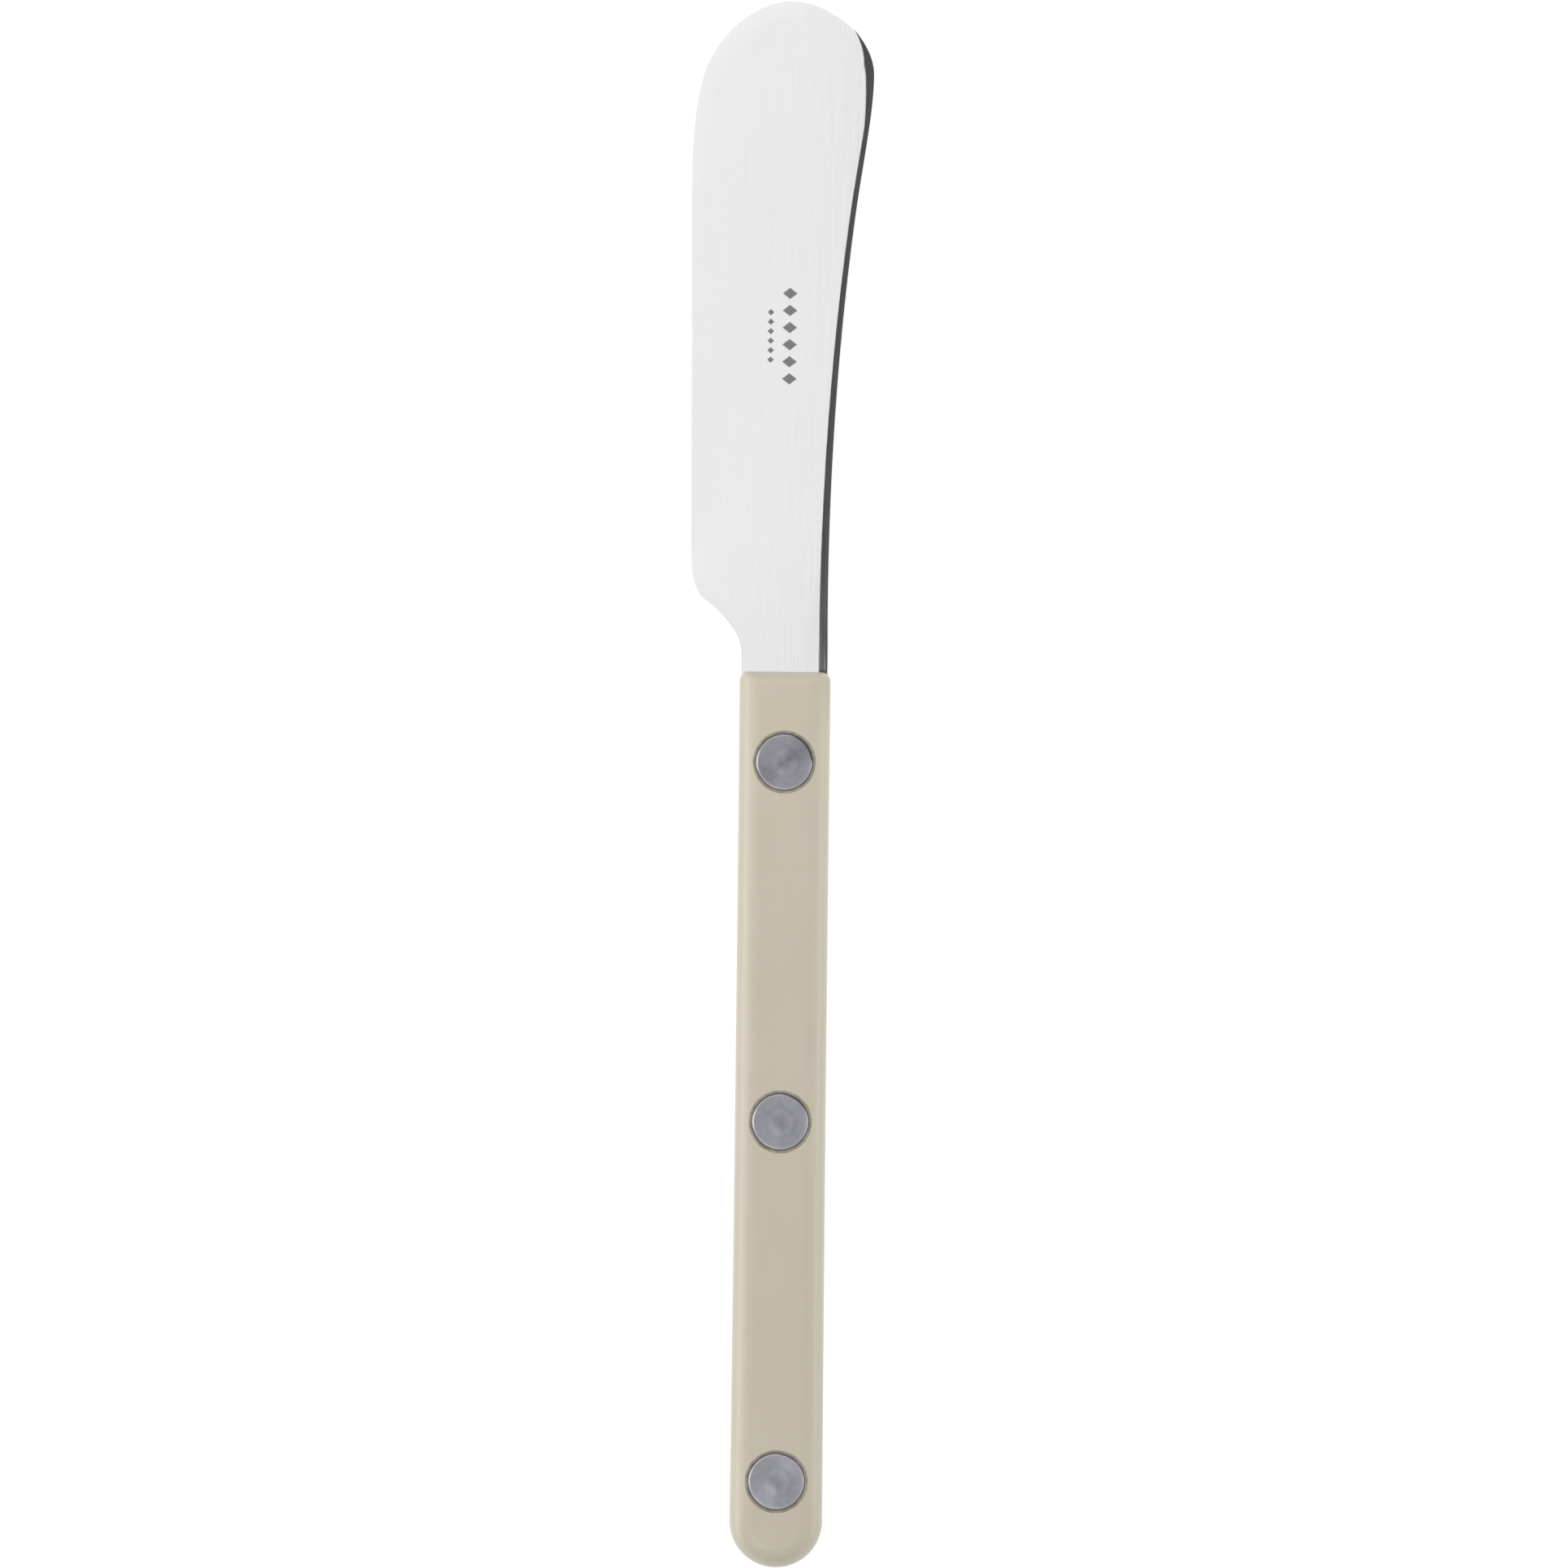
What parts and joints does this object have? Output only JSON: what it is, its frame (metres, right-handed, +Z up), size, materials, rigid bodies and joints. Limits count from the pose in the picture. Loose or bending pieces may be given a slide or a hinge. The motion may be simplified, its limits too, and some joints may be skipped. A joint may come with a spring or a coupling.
{
  "type": "butter spreader",
  "caption": "Butter spreader with a round-tipped steel blade whose full-length tang lies between plastic handle scales, held by flush cutler's rivets.",
  "frame": {"origin": "middle of the underside of the bounding box: on the surface that the back scale lies on", "axes": "+Y from the butt of the handle to the tip of the blade, +X towards the spine, +Z up out of the front scale"},
  "size_m": [0.0192, 0.165, 0.008],
  "materials": {
    "blade_steel": "polished stainless steel with a very fine lengthwise grain",
    "handle_plastic": "warm beige, satin to gloss, smooth",
    "rivet_steel": "turned face with fine concentric rings and a polished rim"
  },
  "bodies": {
    "root": {"blade": "blade_steel", "front_scale": "handle_plastic", "back_scale": "handle_plastic", "lower_rivet_stud": "rivet_steel", "lower_rivet_socket": "rivet_steel", "middle_rivet_stud": "rivet_steel", "middle_rivet_socket": "rivet_steel", "upper_rivet_stud": "rivet_steel", "upper_rivet_socket": "rivet_steel"}
  },
  "joints": []
}
